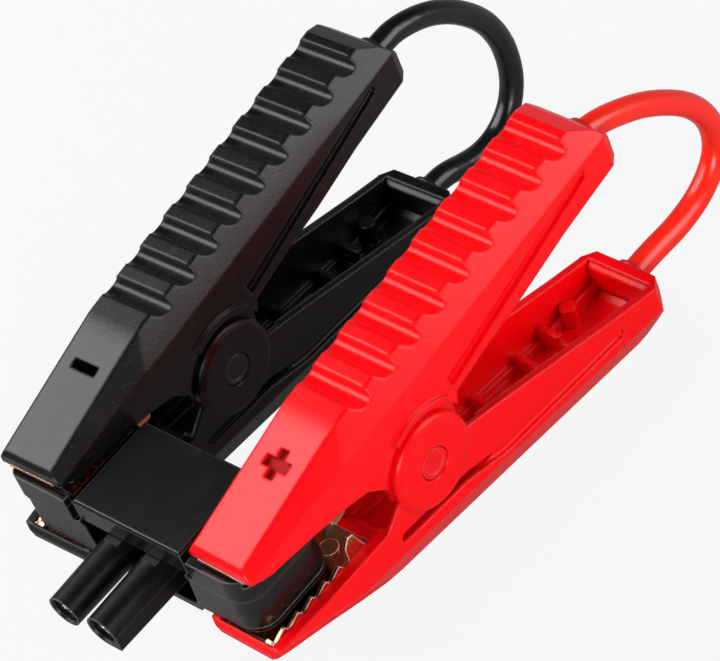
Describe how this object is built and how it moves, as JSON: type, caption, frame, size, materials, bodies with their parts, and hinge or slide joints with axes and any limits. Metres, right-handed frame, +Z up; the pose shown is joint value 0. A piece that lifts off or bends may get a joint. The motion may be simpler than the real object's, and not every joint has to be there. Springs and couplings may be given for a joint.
{
  "type": "jump starter clamp set with plug dock",
  "caption": "Jump-start lead head: a black and a red spring battery clamp parked on a plug dock, each with copper jaws and its own looped cable.",
  "frame": {"origin": "Centre of the underside: below the middle of the bounding box, taken without the two cable loops, at the level of the undersides of the lower handles.", "axes": "+Z up through the dock's flat top; +Y from the plug towards the clamp grips and cable loops; +X from the black negative clamp to the red positive clamp."},
  "size_m": [0.0794, 0.1754, 0.0652],
  "materials": {
    "dock_black": "satin moulded nylon",
    "plug_black": "fine-textured moulded nylon",
    "clamp_black": "satin, fine moulded grain",
    "clamp_red": "semi-gloss moulded red",
    "pin_black": "black-coated steel head",
    "pin_red": "red-coated steel head",
    "rubber_black": "soft black grommet",
    "rubber_red": "soft red grommet",
    "cable_black": "glossy flexible jacket",
    "cable_red": "glossy flexible jacket",
    "copper": "copper-plated sheet",
    "contact_metal": "plated brass contact",
    "steel": "zinc-plated steel"
  },
  "bodies": {
    "dock": {"dock_body": "dock_black", "dock_top_plate": "dock_black", "dock_base_plate": "dock_black", "tray_plate_neg": "copper", "tray_plate_pos": "copper", "plug_housing": "plug_black", "sleeve_neg": "contact_metal", "sleeve_pos": "contact_metal", "bus_bar_neg": "copper", "bus_bar_pos": "copper", "base_screw_1": "steel", "base_screw_2": "steel", "base_screw_3": "steel", "base_screw_4": "steel"},
    "clamp_neg_lower": {"lower_handle_neg": "clamp_black", "lower_jaw_neg": "copper", "lower_rivets_neg": "steel", "pivot_pin_neg": "pin_black", "pivot_cap_neg": "pin_black", "spring_neg": "steel", "lower_grommet_neg": "rubber_black", "lower_clip_neg": "steel", "cable_neg": "cable_black"},
    "clamp_neg_upper": {"upper_handle_neg": "clamp_black", "upper_jaw_neg": "copper", "upper_rivets_neg": "steel", "upper_grommet_neg": "rubber_black", "upper_lug_neg": "copper"},
    "clamp_pos_lower": {"lower_handle_pos": "clamp_red", "lower_jaw_pos": "copper", "lower_rivets_pos": "steel", "pivot_pin_pos": "pin_red", "pivot_cap_pos": "pin_red", "spring_pos": "steel", "lower_grommet_pos": "rubber_red", "lower_clip_pos": "steel", "cable_pos": "cable_red"},
    "clamp_pos_upper": {"upper_handle_pos": "clamp_red", "upper_jaw_pos": "copper", "upper_rivets_pos": "steel", "upper_grommet_pos": "rubber_red", "upper_lug_pos": "copper"}
  },
  "joints": [
    {"name": "clamp_neg_pull", "type": "slide", "parent": "dock", "child": "clamp_neg_lower", "axis": [-0.0175, 0.9998, 0], "range_m": [0, 0.05]},
    {"name": "clamp_neg_open", "type": "hinge", "parent": "clamp_neg_lower", "child": "clamp_neg_upper", "pos_m": [-0.028, -0.00205, 0.0305], "axis": [-0.9998, -0.0175, 0], "range_deg": [0, 24], "stiffness_Nm_per_rad": 1.2, "springref_deg": -45.84, "deforming": ["spring_neg", "cable_neg"]},
    {"name": "clamp_pos_pull", "type": "slide", "parent": "dock", "child": "clamp_pos_lower", "axis": [0.0175, 0.9998, 0], "range_m": [0, 0.05]},
    {"name": "clamp_pos_open", "type": "hinge", "parent": "clamp_pos_lower", "child": "clamp_pos_upper", "pos_m": [0.028, -0.00205, 0.0305], "axis": [-0.9998, 0.0175, 0], "range_deg": [0, 24], "stiffness_Nm_per_rad": 1.2, "springref_deg": -45.84, "deforming": ["spring_pos", "cable_pos"]}
  ]
}
